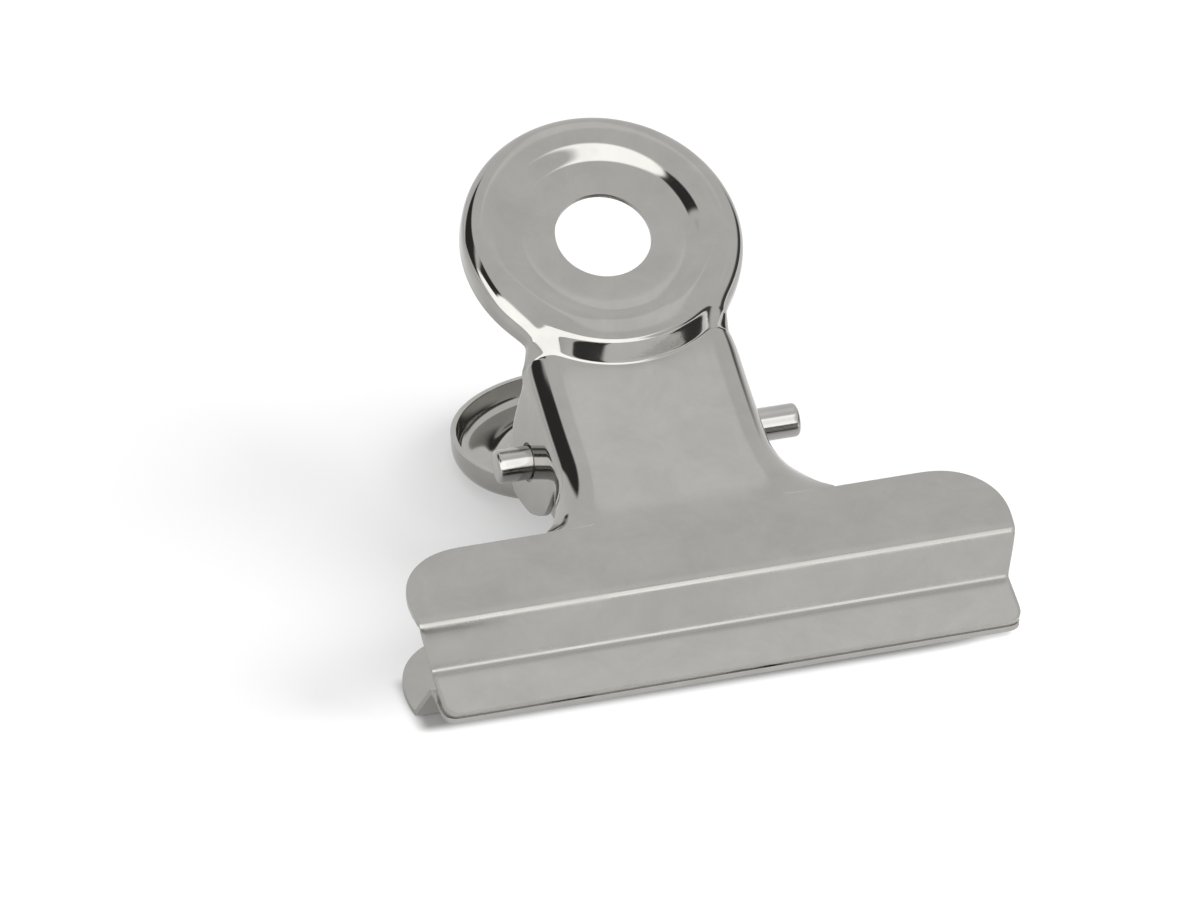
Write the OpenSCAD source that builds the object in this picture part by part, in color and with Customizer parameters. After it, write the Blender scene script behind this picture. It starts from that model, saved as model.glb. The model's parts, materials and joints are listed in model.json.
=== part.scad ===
// Round-headed bulldog clip of pressed sheet steel, lying on its back as it rests on a desk.
//
// The clip is drawn upright first: X runs along the hinge pin, Y is the distance from the middle
// plane between the two plates, and Z runs up from the jaws to the heads, with zero on the pin.
// seat() then lays it down on the rear plate, on the ridge of its jaw and the crest of its head.

/* [Sheet] */
// Thickness of the steel sheet that both plates are pressed from
sheet = 0.7; // [0.5:0.05:0.9]

/* [Jaws] */
// Width of the jaws over the rounded wings
jaw_w = 75; // [60:1:90]
// Distance from the pin down to the top edge of the wings
wing_drop = 20.6; // [18:0.2:24]
// Radius of the wings' top corners
wing_corner_r = 7.8; // [4:0.2:9]
// Distance from the pin down to the ridge across the jaw
ridge_drop = 32.6; // [30:0.2:36]
// Distance from the middle plane out to the ridge
ridge_out = 7.65; // [6:0.05:9]
// Outer radius of the bend at the ridge
ridge_bend_r = 1.3; // [1:0.1:2]
// Height from the ridge down to the crease above the lip
crease_step = 2.2; // [1.6:0.1:3]
// Distance from the middle plane out to the crease
crease_out = 1.85; // [1.6:0.05:2.5]
// Outer radius of the bend at the crease
crease_bend_r = 0.6; // [0.3:0.1:1.2]
// Height of the gripping lip below the crease
lip_h = 6.6; // [4:0.2:9]
// How much shorter the lip is than the wings at each end
lip_inset = 1.5; // [0.5:0.1:3]
// Radius of the lip's lower corners
lip_corner_r = 1.6; // [0.5:0.1:3]
// Free space left between the two closed lips
lip_gap = 0.3; // [0.3:0.05:1]

/* [Neck and ears] */
// Width of the front plate's neck
neck_w = 26.2; // [24:0.2:27]
// Width over the outer ears at the pin, which belong to the front plate and splay a little
ears_w = 28.8; // [28:0.2:31]
// Free space between an inner ear and the bend of the front plate beside it
ear_clear = 0.4; // [0.35:0.05:0.6]
// Outer radius of the bend from the neck into an ear
ear_bend_r = 2.8; // [2:0.1:3]
// Radius of the neck's sweep outwards from the wings to the head
neck_sweep_r = 86; // [80:1:100]
// Radius of the inside corner between neck and wing
neck_fillet_r = 5; // [3:0.5:6]

/* [Heads] */
// Diameter over the rim of a head
head_d = 35.2; // [32:0.2:38]
// Diameter of the hanging hole
hole_d = 12; // [9:0.5:14]
// Distance from the middle plane out to the face round the hanging hole
head_out = 17.5; // [17:0.1:19]
// Height of the hanging hole above the pin
head_rise = 19.5; // [19:0.1:22]
// Angle that a head leans out from the middle plane
head_lean = 17; // [15:0.5:20]
// Diameter of the flat ring round the hanging hole
flat_d = 21.4; // [19:0.2:24]
// Diameter at which the dished slope reaches the crest
slope_d = 26.6; // [25.6:0.2:28]
// Height of the crest above the flat ring
dish_h = 1.1; // [0.6:0.1:1.6]
// Outer radius of the rounded edge between crest and rim
rim_edge_r = 2; // [1.4:0.1:2.4]
// Depth of the turned-back rim, measured from the crest
rim_depth = 3.9; // [3.2:0.1:4.4]

/* [Hinge pin] */
// Diameter of the hinge pin
pin_d = 4.2; // [3:0.1:4.6]
// Length of the hinge pin
pin_len = 38.6; // [34:0.2:46]
// Chamfer at both ends of the pin
pin_chamfer = 0.3; // [0.1:0.1:0.6]
// Free space between the pin and the holes of the outer ears
pin_clear = 0.35; // [0.3:0.05:0.6]
// How much further the pin stands out on the right than on the left, halved
pin_shift = 0.8; // [0:0.1:1.5]

/* [Torsion spring] */
// Diameter of the spring wire
wire_d = 1.6; // [1.4:0.1:1.8]
// Whole turns of the coil between its two legs
coil_turns = 7; // [6:1:8]
// Free space between neighbouring turns
coil_gap = 0.5; // [0.45:0.05:0.6]
// Free space between the coil and the pin
coil_clear = 0.5; // [0.3:0.1:0.8]
// How far below the hanging hole's centre the feet that press on the heads end
foot_drop = 3; // [1:0.5:4]
// Inner radius of the bend from a leg into its foot
foot_bend_r = 1.2; // [0.8:0.1:1.6]

/* [Hidden] */
$fn = 96;

// Steps in a rounded corner of an outline
arc_steps = 8;
// Length that is longer than anything it cuts
far = 120;
// Small overlap between shapes that are joined or trimmed
overlap = 0.1;

// Heights of the jaw's bends and end, from the pin
crease_z = -(ridge_drop + crease_step);
lip_z = crease_z - lip_h;
lip_out = lip_gap / 2 + sheet;
// The neck sweeps outwards from the wings' top edge
wing_top = -wing_drop;
neck_z = wing_top;

// Ends of the jaw, which narrow from wing to lip
wing_half = jaw_w / 2;
ridge_inset = 0.4;
ridge_half = wing_half - ridge_inset;
lip_half = wing_half - lip_inset;

// Half widths of the two necks, the rear one inside the front plate's ears
front_half = neck_w / 2;
rear_half = front_half - sheet - ear_clear;

// Ears as seen from their side, as [outwards, up, corner radius] from the notch round to the top
notch_out = 3.6;
notch_z = -9;
notch_r = 0.4;
front_ear = [[-2, -8, 4], [-5.2, -3.6, 2], [-7, 2.8, 3], [-4, 5.4, 4], [1, 6.6, 8]];
rear_ear = [[-2, -7.6, 3], [-5.4, -3.4, 2], [-6.4, 2.6, 3], [-4, 5.2, 3], [1, 6.2, 8]];

// Directions of a head, as [outwards, up]: square to its face, and up along it
head_n = [cos(head_lean), -sin(head_lean)];
head_up = [sin(head_lean), cos(head_lean)];
head_c = [head_out, head_rise];
head_r = head_d / 2;
rim_edge = dish_h - rim_depth;

function unit(v) = v / norm(v);
function polar(r, a) = r * [cos(a), sin(a)];
function turn_of(a, b, c) = cross(b - a, c - b);
function bearing(v) = atan2(v[1], v[0]);
function wrap(a) = a > 180 ? a - 360 : (a < -180 ? a + 360 : a);

// Centre of the arc of radius r that rounds the corner at b between a and c
function round_centre(a, b, c, r) =
    let (u = unit(a - b), w = unit(c - b), half = acos(u * w) / 2)
    b + unit(u + w) * r / sin(half);

// Samples of that arc, each a point and the direction to the right of the path there
function round_samples(a, b, c, r) =
    let (m = round_centre(a, b, c, r),
         side = turn_of(a, b, c) > 0 ? 1 : -1,
         from = bearing((b + unit(a - b) * ((m - b) * unit(a - b))) - m),
         to = bearing((b + unit(c - b) * ((m - b) * unit(c - b))) - m),
         sweep = wrap(to - from))
    [for (i = [0:arc_steps])
        let (u = polar(1, from + sweep * i / arc_steps)) [m + r * u, side * u]];

// Direction to the right of the path from a to b
function right_of(a, b) = let (v = unit(b - a)) [v[1], -v[0]];

// Samples of an open path given as [x, y, corner radius], with sharp ends
function path_samples(p) =
    let (q = [for (e = p) [e[0], e[1]]], last = len(p) - 1)
    concat(
        [[q[0], right_of(q[0], q[1])]],
        [for (i = [1:1:last - 1]) each round_samples(q[i - 1], q[i], q[i + 1], p[i][2])],
        [[q[last], right_of(q[last - 1], q[last])]]);

// Outline of bent sheet whose outer face follows the path, with the metal to its left
function sheet_outline(p) =
    let (s = path_samples(p), last = len(s) - 1)
    concat([for (e = s) e[0]], [for (i = [last:-1:0]) s[i][0] - sheet * s[i][1]]);

// Closed outline given as [x, y, corner radius], where a radius of 0 leaves the corner sharp
function rounded(p) =
    let (n = len(p), q = [for (e = p) [e[0], e[1]]])
    [for (i = [0:n - 1])
        each (p[i][2] == 0 ? [q[i]]
            : [for (e = round_samples(q[(i + n - 1) % n], q[i], q[(i + 1) % n], p[i][2])) e[0]])];

// Distance of the neck's outer face at a height above the wings
function neck_out(z) = ridge_out + neck_sweep_r - sqrt(pow(neck_sweep_r, 2) - pow(z - neck_z, 2));

// Outer face of jaw and neck from the lip upwards, as [outwards, up, bend radius]
jaw_path = [
    [lip_out, lip_z, 0],
    [crease_out, crease_z, crease_bend_r],
    [ridge_out, -ridge_drop, ridge_bend_r],
    [ridge_out, neck_z + neck_sweep_r * tan(head_lean / 2), neck_sweep_r],
    [ridge_out + far * sin(head_lean), neck_z + neck_sweep_r * tan(head_lean / 2) + far * cos(head_lean), 0]];

// Front view of jaw and wings, right half from the middle of the lip round to the neck
widest_rise = 4;
widest_z = widest_rise - ridge_drop;
end_bend_r = 2;
half_front = [
    [lip_half, lip_z, lip_corner_r],
    [lip_half, crease_z, end_bend_r / 2],
    [ridge_half, -ridge_drop, end_bend_r],
    [wing_half, widest_z, end_bend_r],
    [wing_half, wing_top, wing_corner_r]];

// Side view of neck and ear, as [outwards, up, corner radius]
// The neck's sides end a little short of the rim's edge, and start inside the head's foot
flange_short = 0.2;
flange_inside = 0.6;
flange_corner_r = 2.5;
flange_edge = rim_edge + flange_short;
flange_low = head_c + head_n * flange_edge - head_up * (head_r - flange_inside);
flange_high = head_c + head_n * flange_edge;
function ear_side(ear) = concat(
    [[far, wing_top, 0], [ridge_out - sheet, wing_top, 0], [notch_out, notch_z, notch_r]],
    ear,
    [[flange_low[0], flange_low[1], flange_corner_r], [flange_high[0], flange_high[1], 0], [far, flange_high[1], 0]]);

// Radii of the bends at the top and at the foot of the head's slope
crest_bend_r = 1.6;
slope_bend_r = 2.5;

// Outer face of a head from its rim's edge in to the hanging hole, as [radius, height, bend radius]
head_path = [
    [head_r, rim_edge, 0],
    [head_r, dish_h, rim_edge_r],
    [slope_d / 2, dish_h, crest_bend_r],
    [flat_d / 2, 0, slope_bend_r],
    [hole_d / 2, 0, 0]];

// Round wire of the spring: coil, legs and the feet that press on the heads
coil_r = pin_d / 2 + coil_clear + wire_d / 2;
coil_pitch = wire_d + coil_gap;
foot_share = 1.25;
foot_len = foot_share * wire_d;
foot_turn_r = foot_bend_r + wire_d / 2;
foot_end = head_c - head_up * foot_drop - head_n * (sheet + wire_d / 2);
foot_start = foot_end - head_up * foot_len;
// Centre of the bend between leg and foot, then the straight leg tangent to that bend and to the coil
foot_m = foot_start - head_n * foot_turn_r;
leg_span = norm(foot_m);
leg_a = bearing(foot_m) - acos((coil_r - foot_turn_r) / leg_span);
coil_sweep = 360 * coil_turns + 180 + 2 * leg_a;
coil_len = coil_pitch * coil_sweep / 360;
rings_per_turn = 8;
coil_rings = ceil(coil_sweep * rings_per_turn / 360);
foot_steps = 4;
wire_sides = 6;

// One leg from its foot, which lies flat under the head, to the coil, on the side of the rear plate
leg = concat(
    [foot_end, foot_start],
    [for (i = [1:foot_steps])
        foot_m + polar(foot_turn_r, (leg_a + head_lean) * i / foot_steps - head_lean)]);
wire_path = concat(
    [for (p = leg) [-coil_len / 2, p[0], p[1]]],
    [for (i = [0:coil_rings])
        let (t = i / coil_rings, p = polar(coil_r, leg_a - coil_sweep * t))
        [coil_len * (t - 0.5), p[0], p[1]]],
    [for (i = [len(leg) - 1:-1:0]) [coil_len / 2, -leg[i][0], leg[i][1]]]);
wire_last = len(wire_path) - 1;
wire_dirs = [for (i = [0:wire_last])
    i == 0 ? unit(wire_path[1] - wire_path[0])
    : i == wire_last ? unit(wire_path[i] - wire_path[i - 1])
    : unit(unit(wire_path[i] - wire_path[i - 1]) + unit(wire_path[i + 1] - wire_path[i]))];
rings_apart = 6;
wire_gap = min([for (i = [0:wire_last]) for (j = [i + rings_apart:1:wire_last])
    norm(wire_path[i] - wire_path[j])]) - wire_d;
echo(spring_gap_to_itself = wire_gap);

// The clip lies on the ridge of the rear jaw and the crest of the rear head
ridge_m = round_centre([crease_out, crease_z], [ridge_out, -ridge_drop], [ridge_out, neck_z], ridge_bend_r);
crest_m = head_c + head_n * (dish_h - rim_edge_r) + head_up * (head_r - rim_edge_r);
lie_v = crest_m - ridge_m;
lie = atan2(lie_v[0], lie_v[1]) - asin((ridge_bend_r - rim_edge_r) / norm(lie_v));
lie_n = [cos(lie), -sin(lie)];
lie_along = [sin(lie), cos(lie)];
lift = lie_n * ridge_m + ridge_bend_r;
rim_far = head_c + head_n * rim_edge + head_up * head_r;
reach_heads = max(lie_along * crest_m + rim_edge_r, lie_along * rim_far);
reach_lips = lie_along * [-lip_out, lip_z];

// Lays the upright clip down, with the middle of its footprint at the origin
module seat() {
    translate([0, -(reach_heads + reach_lips) / 2, lift])
        rotate([lie - 90, 0, 0])
            children();
}

// Extrudes a side view, drawn as [outwards, up], along the pin
module along_pin(length) {
    rotate([90, 0, 90]) linear_extrude(height = length, center = true) children();
}

// Puts its children on the head, with Z square to the head's face
module on_head() {
    translate([0, head_out, head_rise]) rotate([-90 - head_lean, 0, 0]) children();
}

// Jaw and wings: bent sheet, trimmed to its outline
module jaw(half) {
    fillet_top = wing_top + neck_fillet_r + overlap;
    outline = concat(
        half_front,
        [[half, wing_top, neck_fillet_r], [half, fillet_top, 0]],
        [[-half, fillet_top, 0], [-half, wing_top, neck_fillet_r]],
        [for (i = [len(half_front) - 1:-1:0]) [-half_front[i][0], half_front[i][1], half_front[i][2]]]);
    intersection() {
        along_pin(jaw_w + overlap) polygon(sheet_outline(jaw_path));
        rotate([90, 0, 0]) linear_extrude(height = far, center = true) polygon(rounded(outline));
    }
}

// How far the channel's legs are drawn past the middle plane, and beyond the ears
leg_over = 6;

// Neck and ears: a swept channel of bent sheet, trimmed to its side view
module channel(half, ears_half, ear) {
    // The channel's legs splay, so that they stand ears_half apart at the pin
    splay = (ears_half - half) / neck_out(0);
    leg_len = 2 * ridge_out + leg_over;
    leg_half = half + leg_len * splay;
    section = [
        [neck_sweep_r + leg_len, -leg_half, 0],
        [neck_sweep_r, -half, ear_bend_r],
        [neck_sweep_r, half, ear_bend_r],
        [neck_sweep_r + leg_len, leg_half, 0]];
    reversed = [for (i = [len(section) - 1:-1:0]) section[i]];
    intersection() {
        translate([0, ridge_out + neck_sweep_r, neck_z])
            rotate([0, 90, 0])
                rotate_extrude($fn = 2 * $fn) polygon(sheet_outline(reversed));
        along_pin(2 * leg_half) polygon(rounded(ear_side(ear)));
    }
}

// Head: dished round, with the hanging hole and the rim turned back
module head() {
    on_head() rotate_extrude() polygon(sheet_outline(head_path));
}

// Heights between which the step is drawn, from the pin and from the hanging hole's centre
step_low = -4;
step_below_hole = 7;

// The step from the head's rim down to the neck, between the ears
module neck_step(half) {
    step_high = head_rise - step_below_hole;
    inner = [for (i = [0:arc_steps])
        let (z = step_low + (step_high - step_low) * i / arc_steps) [neck_out(z) - sheet, z]];
    intersection() {
        on_head() difference() {
            translate([0, 0, -far / 4]) cylinder(r = head_r, h = far / 4);
            translate([0, 0, -far / 2]) cylinder(r = head_r - sheet, h = far);
        }
        along_pin(2 * half - sheet) polygon(concat(inner, [[far, step_high], [far, step_low]]));
    }
}

// One plate, drawn on the side of the rear plate
module plate(half, ears_half, ear, hole) {
    difference() {
        union() {
            jaw(half - sheet / 2);
            difference() {
                channel(half, ears_half, ear);
                on_head() translate([0, 0, -far / 2]) cylinder(r = head_r - sheet / 2, h = far);
            }
            neck_step(half);
            head();
        }
        rotate([0, 90, 0]) cylinder(d = hole, h = far, center = true);
    }
}

// Front plate, whose ears lie outside and turn on the pin
module front_plate() {
    color("silver") seat() mirror([0, 1, 0]) plate(front_half, ears_w / 2, front_ear, pin_d + 2 * pin_clear);
}

// Rear plate, whose ears lie inside and hold the pin
module rear_plate() {
    color("silver") seat() plate(rear_half, rear_half, rear_ear, pin_d);
}

// Hinge pin through all four ears
module hinge_pin() {
    body_len = pin_len - 2 * pin_chamfer;
    color("gainsboro") seat() translate([pin_shift, 0, 0]) rotate([0, 90, 0]) {
        cylinder(d = pin_d, h = body_len, center = true);
        for (m = [0, 1]) mirror([0, 0, m]) translate([0, 0, body_len / 2])
            cylinder(d1 = pin_d, d2 = pin_d - 2 * pin_chamfer, h = pin_chamfer);
    }
}

// Torsion spring wound round the pin, with a leg against the inside of each head
module torsion_spring() {
    points = [for (i = [0:wire_last])
        let (across = unit(cross(wire_dirs[i], [1, 0, 0])), over = cross(wire_dirs[i], across))
        for (k = [0:wire_sides - 1])
            let (a = 360 * (k + 0.5) / wire_sides)
            wire_path[i] + wire_d / 2 * (cos(a) * across + sin(a) * over)];
    sides = [for (i = [0:wire_last - 1]) for (k = [0:wire_sides - 1])
        let (a = i * wire_sides + k, b = i * wire_sides + (k + 1) % wire_sides)
        each [[a, a + wire_sides, b], [b, a + wire_sides, b + wire_sides]]];
    first_end = [for (k = [1:wire_sides - 2]) [0, k, k + 1]];
    top = wire_last * wire_sides;
    last_end = [for (k = [1:wire_sides - 2]) [top, top + k + 1, top + k]];
    color("gray") seat() polyhedron(points, concat(sides, first_end, last_end), convexity = 10);
}

front_plate();
rear_plate();
hinge_pin();
torsion_spring();
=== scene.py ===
import bmesh
import bpy
import json
import math
import numpy as np
from mathutils import Matrix, Vector
from types import SimpleNamespace


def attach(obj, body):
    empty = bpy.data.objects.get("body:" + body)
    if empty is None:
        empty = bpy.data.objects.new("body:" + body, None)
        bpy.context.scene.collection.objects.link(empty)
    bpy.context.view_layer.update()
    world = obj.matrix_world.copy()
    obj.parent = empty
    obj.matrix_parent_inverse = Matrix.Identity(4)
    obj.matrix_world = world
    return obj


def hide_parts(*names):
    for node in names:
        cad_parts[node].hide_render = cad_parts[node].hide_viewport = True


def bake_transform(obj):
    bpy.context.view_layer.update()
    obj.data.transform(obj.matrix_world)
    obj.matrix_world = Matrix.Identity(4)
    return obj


# A round-headed bulldog clip of nickel-plated sheet steel, lying on its back on a white table
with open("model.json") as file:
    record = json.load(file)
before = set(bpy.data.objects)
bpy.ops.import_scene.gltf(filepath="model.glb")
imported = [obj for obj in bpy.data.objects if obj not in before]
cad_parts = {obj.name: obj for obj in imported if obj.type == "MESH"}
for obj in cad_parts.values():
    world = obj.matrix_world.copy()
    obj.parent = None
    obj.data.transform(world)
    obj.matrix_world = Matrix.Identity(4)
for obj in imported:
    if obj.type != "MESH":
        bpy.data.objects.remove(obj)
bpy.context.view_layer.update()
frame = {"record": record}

# Front plate
# One pressing of bright nickel-plated steel sheet: lip, crease, ridge and wings, a neck that sweeps out
# to the dished head, and two ears bent back off the neck, which swing on the hinge pin. It is drawn as
# one skin over half the plate, mirrored, made smooth and given the sheet's thickness.

# Sizes are in millimetres on the upright clip: x along the pin, y out from the plane between the two
# plates, z up to the heads, with the pin's axis at zero. LIE is the slope at which the clip lies.
LIE = math.radians(13.1992)
PIN = np.array(frame["record"]["behaviour"]["joints"][0]["pos_m"])
REAR, FRONT = 1, -1


def lay(points, side=REAR):
    """Points of the upright clip, put where the clip lies, in metres."""
    p = np.asarray(points, float)
    x, y, z = p[..., 0], side * p[..., 1], p[..., 2]
    flat = np.stack([x, y * math.sin(LIE) + z * math.cos(LIE), z * math.sin(LIE) - y * math.cos(LIE)], -1)
    return flat / 1000 + PIN


# The sheet, the jaw, and the neck, which sweeps out on a circle. RIDGE, CREASE and LIP_END are the
# jaw's corners in the side view, as (y, z).
SHEET = 0.7
WING_HALF, WING_CORNER_R, WING_TOP = 37.5, 7.8, -20.6
LIP_HALF, LIP_CORNER_R = 36.0, 1.6
RIDGE_OUT, CREASE_R, SWEEP_R = 7.65, 0.5, 86.0
RIDGE, CREASE, LIP_END = (RIDGE_OUT, -32.6), (1.85, -34.8), (0.85, -41.38)

# The head's plane, its middle at the hanging hole. DISH and STEP are its section from the hole out: the
# radius, with the height over that plane, then with the share of the step from the neck to the crest.
HEAD_C, HEAD_LEAN = np.array([17.5, 19.5]), math.radians(17)
HEAD_N = np.array([math.cos(HEAD_LEAN), -math.sin(HEAD_LEAN)])
HEAD_UP = np.array([math.sin(HEAD_LEAN), math.cos(HEAD_LEAN)])
DISH = ((6.0, 0), (6.3, 0), (7.6, 0), (9.1, 0), (10.1, 0.015), (10.8, 0.09), (11.4, 0.295), (12.0, 0.58),
        (12.6, 0.835), (13.3, 0.995), (14.2, 1.075), (15.0, 1.095), (15.6, 1.08))
STEP = ((15.6, 1), (15.85, 0.985), (16.1, 0.93), (16.35, 0.80), (16.9, 0.49), (17.45, 0.18),
        (17.66, 0.062), (17.8, 0.014), (18.05, 0))
RIM_R, CREST = DISH[-1]
EDGE_R, RIM_EDGE = 2.0, -2.8

# The ears: their bend off the neck, the hollow between ear and rim, where the rim's crest sinks a
# little, EAR_TOP and NOTCH, the ends of the line along which the ear's flat leaves the bend, and
# NOTCH_Z, the neck's height at the notch
EAR_BEND_R, HOLLOW_OUTER_R = 3.5, 3.3
HOLLOW_R = HOLLOW_OUTER_R + EAR_BEND_R
SINK_DEPTH, SINK_SPREAD, SINK_START_R = 0.6, 0.27, 13.0
HOLLOW_EDGE_SAG = 0.45
EAR_TOP, NOTCH, NOTCH_Z = np.array([7.5, 5.9]), np.array([3.4, -9.0]), -9.6

# From the notch down to the wings' top the sheet's free edge runs out by EDGE_OUT and flares at last by
# EDGE_FLARE, and the straight wall beside the bend shrinks to WING_WALL of the bend's length
BELOW_NOTCH = (-11.0, -12.4, -13.8, -15.2, -16.6, -18.0, -19.3, WING_TOP)
EDGE_OUT, EDGE_FLARE, WING_WALL = 3.4, 1.3, 0.3

# How finely the skin is drawn before it is made smooth
SPOKES, COLUMNS, NECK_ROWS, EAR_SIDES, WING_COLUMNS = 16, 6, 10, 22, 9
BEND_STEPS = (0, 0.25, 0.5, 0.75, 1)
BEND_END = len(BEND_STEPS) - 1
EAR_RINGS, EAR_EVENNESS = (0, 0.1, 0.35, 0.68, 1), 0.4


def round_path(corners, steps):
    """Points of a path given as [y, z, corner radius], each corner rounded in that many steps."""
    path = [np.array(corners[0][:2], float)]
    for before, at, after in zip(corners, corners[1:], corners[2:]):
        a, b, c = (np.array(k[:2], float) for k in (before, at, after))
        u, w = (a - b) / np.linalg.norm(a - b), (c - b) / np.linalg.norm(c - b)
        half = math.acos(np.clip(u @ w, -1, 1)) / 2
        reach = at[2] / math.tan(half)
        mid = b + (u + w) / np.linalg.norm(u + w) * at[2] / math.sin(half)
        start, end = b + u * reach - mid, b + w * reach - mid
        a0 = math.atan2(start[1], start[0])
        sweep = (math.atan2(end[1], end[0]) - a0 + math.pi) % (2 * math.pi) - math.pi
        turns = [a0 + sweep * k / steps for k in range(steps + 1)]
        path += [mid + at[2] * np.array([math.cos(turn), math.sin(turn)]) for turn in turns]
    return np.array(path + [np.array(corners[-1][:2], float)])


def spaced(path, count):
    """The path again as count + 1 points, evenly spaced along it."""
    along = np.r_[0, np.cumsum(np.linalg.norm(np.diff(path, axis=0), axis=1))]
    at = np.linspace(0, along[-1], count + 1)
    return np.stack([np.interp(at, along, path[:, k]) for k in (0, 1)], 1)


def neck_out(z):
    """How far out the swept neck lies at that height."""
    return RIDGE_OUT + SWEEP_R - math.sqrt(SWEEP_R ** 2 - (z - WING_TOP) ** 2)


def neck_inward(z):
    """Direction in the side view that points into the clip, square to the neck."""
    lean = math.asin((z - WING_TOP) / SWEEP_R)
    return np.array([-math.cos(lean), math.sin(lean)])


def on_head(x, s, h):
    """A point placed from the hanging hole: x across, s along the head and h over its plane."""
    yz = HEAD_C + HEAD_UP * s + HEAD_N * h
    return np.array([x, yz[0], yz[1]])


def neck_depth(s):
    """How high over the head's plane the neck lies, s along the head."""
    # a first guess of two sheets down, made better in a few steps
    h = -2 * SHEET
    for _ in range(8):
        y, z = HEAD_C + HEAD_UP * s + HEAD_N * h
        h += (neck_out(z) - y) * HEAD_N[0]
    return h


def measure_neck(half, ears_half):
    """What follows from a plate's half width over its ears, at the neck and at the pin."""
    splay = (ears_half - half) / neck_out(0)
    bend = math.pi / 2 - math.atan(splay)
    edge_x = half - EAR_BEND_R * math.tan(bend / 2)
    hollow_x = edge_x + HOLLOW_R
    hollow_s = -math.sqrt((RIM_R + HOLLOW_R) ** 2 - hollow_x ** 2)
    # spokes of the head run from its top to the hollow's foot, and on under the neck to its middle
    foot = math.atan2(hollow_s, hollow_x)
    foot_x = RIM_R * math.cos(foot)
    spokes = [math.pi / 2 + (foot - math.pi / 2) * k / SPOKES for k in range(SPOKES + 1)]
    spokes += [-math.acos(foot_x * (1 - j / COLUMNS) / RIM_R) for j in range(1, COLUMNS + 1)]
    return SimpleNamespace(half=half, splay=splay, bend=bend, edge_x=edge_x, hollow_x=hollow_x,
                           hollow_s=hollow_s, foot=foot, foot_x=foot_x, spokes=spokes)


def ear_x(plate, y, z):
    """How far out the flat of an ear lies at that place in the side view."""
    return plate.half + plate.splay * (math.hypot(y - RIDGE_OUT - SWEEP_R, z - WING_TOP) - SWEEP_R)


def crest_sink(plate, a):
    """How far the rim's crest sinks at that angle, near the hollow's foot."""
    return SINK_DEPTH * math.exp(-((a - plate.foot) / SINK_SPREAD) ** 2)


def neck_side(plate, rho):
    """Where a circle about the hanging hole crosses the hollow, or past it the neck's straight side."""
    if rho <= RIM_R:
        return plate.foot_x, RIM_R * math.sin(plate.foot)
    far_s = -math.sqrt(max(rho ** 2 - plate.edge_x ** 2, 0))
    if far_s <= plate.hollow_s:
        return plate.edge_x, far_s
    d = math.hypot(plate.hollow_x, plate.hollow_s)
    a = (rho ** 2 - HOLLOW_R ** 2 + d ** 2) / (2 * d)
    b = math.sqrt(max(rho ** 2 - a ** 2, 0))
    ux, us = plate.hollow_x / d, plate.hollow_s / d
    return a * ux + b * us, a * us - b * ux


def head_rings(plate):
    """The dished head, as rings from the hanging hole to the rim's crest."""
    rings = []
    for r, h in DISH:
        u = np.clip((r - SINK_START_R) / (RIM_R - SINK_START_R), 0, 1)
        share = u * u * (3 - 2 * u)
        rings.append([on_head(r * math.cos(a), r * math.sin(a), h - crest_sink(plate, a) * share)
                      for a in plate.spokes])
    return rings


def step_rows(plate):
    """The step from the crest down to the neck, with its first column along the neck's side."""
    crests = [CREST - crest_sink(plate, a) for a in plate.spokes[SPOKES:]]
    rows = []
    for rho, share in STEP:
        side_x, side_s = neck_side(plate, rho)
        row = []
        for j, crest in enumerate(crests):
            x = side_x * (1 - j / COLUMNS)
            s = side_s if j == 0 else -math.sqrt(rho ** 2 - x ** 2)
            low = neck_depth(s)
            row.append(on_head(x, s, low + (crest - low) * share))
        rows.append(row)
    return rows


def neck_rows(plate, top_row):
    """The neck, from the step down to the wings' top edge."""
    across = [plate.edge_x * (1 - j / COLUMNS) for j in range(COLUMNS + 1)]
    rows = [top_row]
    for r in range(1, NECK_ROWS + 1):
        heights = [top[2] + (NOTCH_Z - top[2]) * r / NECK_ROWS for top in top_row]
        rows.append([np.array([x, neck_out(z), z]) for x, z in zip(across, heights)])
    rows += [[np.array([x, neck_out(z), z]) for x in across] for z in BELOW_NOTCH]
    return rows


def rim_cuts(plate):
    """The rolled edge and the wall of the rim, one cut through them for each spoke."""
    cuts = []
    for a in plate.spokes[:SPOKES + 1]:
        out = np.array([math.cos(a), math.sin(a)])
        crest = CREST - crest_sink(plate, a)
        cut = []
        for k in BEND_STEPS:
            t = math.pi / 2 * k
            r = RIM_R + EDGE_R * math.sin(t)
            cut.append(on_head(out[0] * r, out[1] * r, crest - EDGE_R * (1 - math.cos(t))))
        for h in ((crest - EDGE_R + RIM_EDGE) / 2, RIM_EDGE):
            cut.append(on_head(out[0] * (RIM_R + EDGE_R), out[1] * (RIM_R + EDGE_R), h))
        cuts.append(cut)
    return cuts


def ear_cuts(plate, neck):
    """The bend between neck and ear, from the ear's top to the notch, and the strip of flat beside it."""
    cuts = []
    for r in range(1, NECK_ROWS + 1):
        edge = neck[r][0]
        inward = neck_inward(edge[2])
        cut = []
        for k in BEND_STEPS:
            reach, drop = EAR_BEND_R * math.sin(plate.bend * k), EAR_BEND_R * (1 - math.cos(plate.bend * k))
            cut.append(np.array([edge[0] + reach, *(edge[1:] + inward * drop)]))
        end_yz = EAR_TOP + (NOTCH - EAR_TOP) * (r - 1) / (NECK_ROWS - 1)
        end = np.array([ear_x(plate, *end_yz), *end_yz])
        mid = (cut[-1] + end) / 2
        mid[0] = ear_x(plate, *mid[1:])
        cuts.append([*cut, mid, end])
    return cuts


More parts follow.
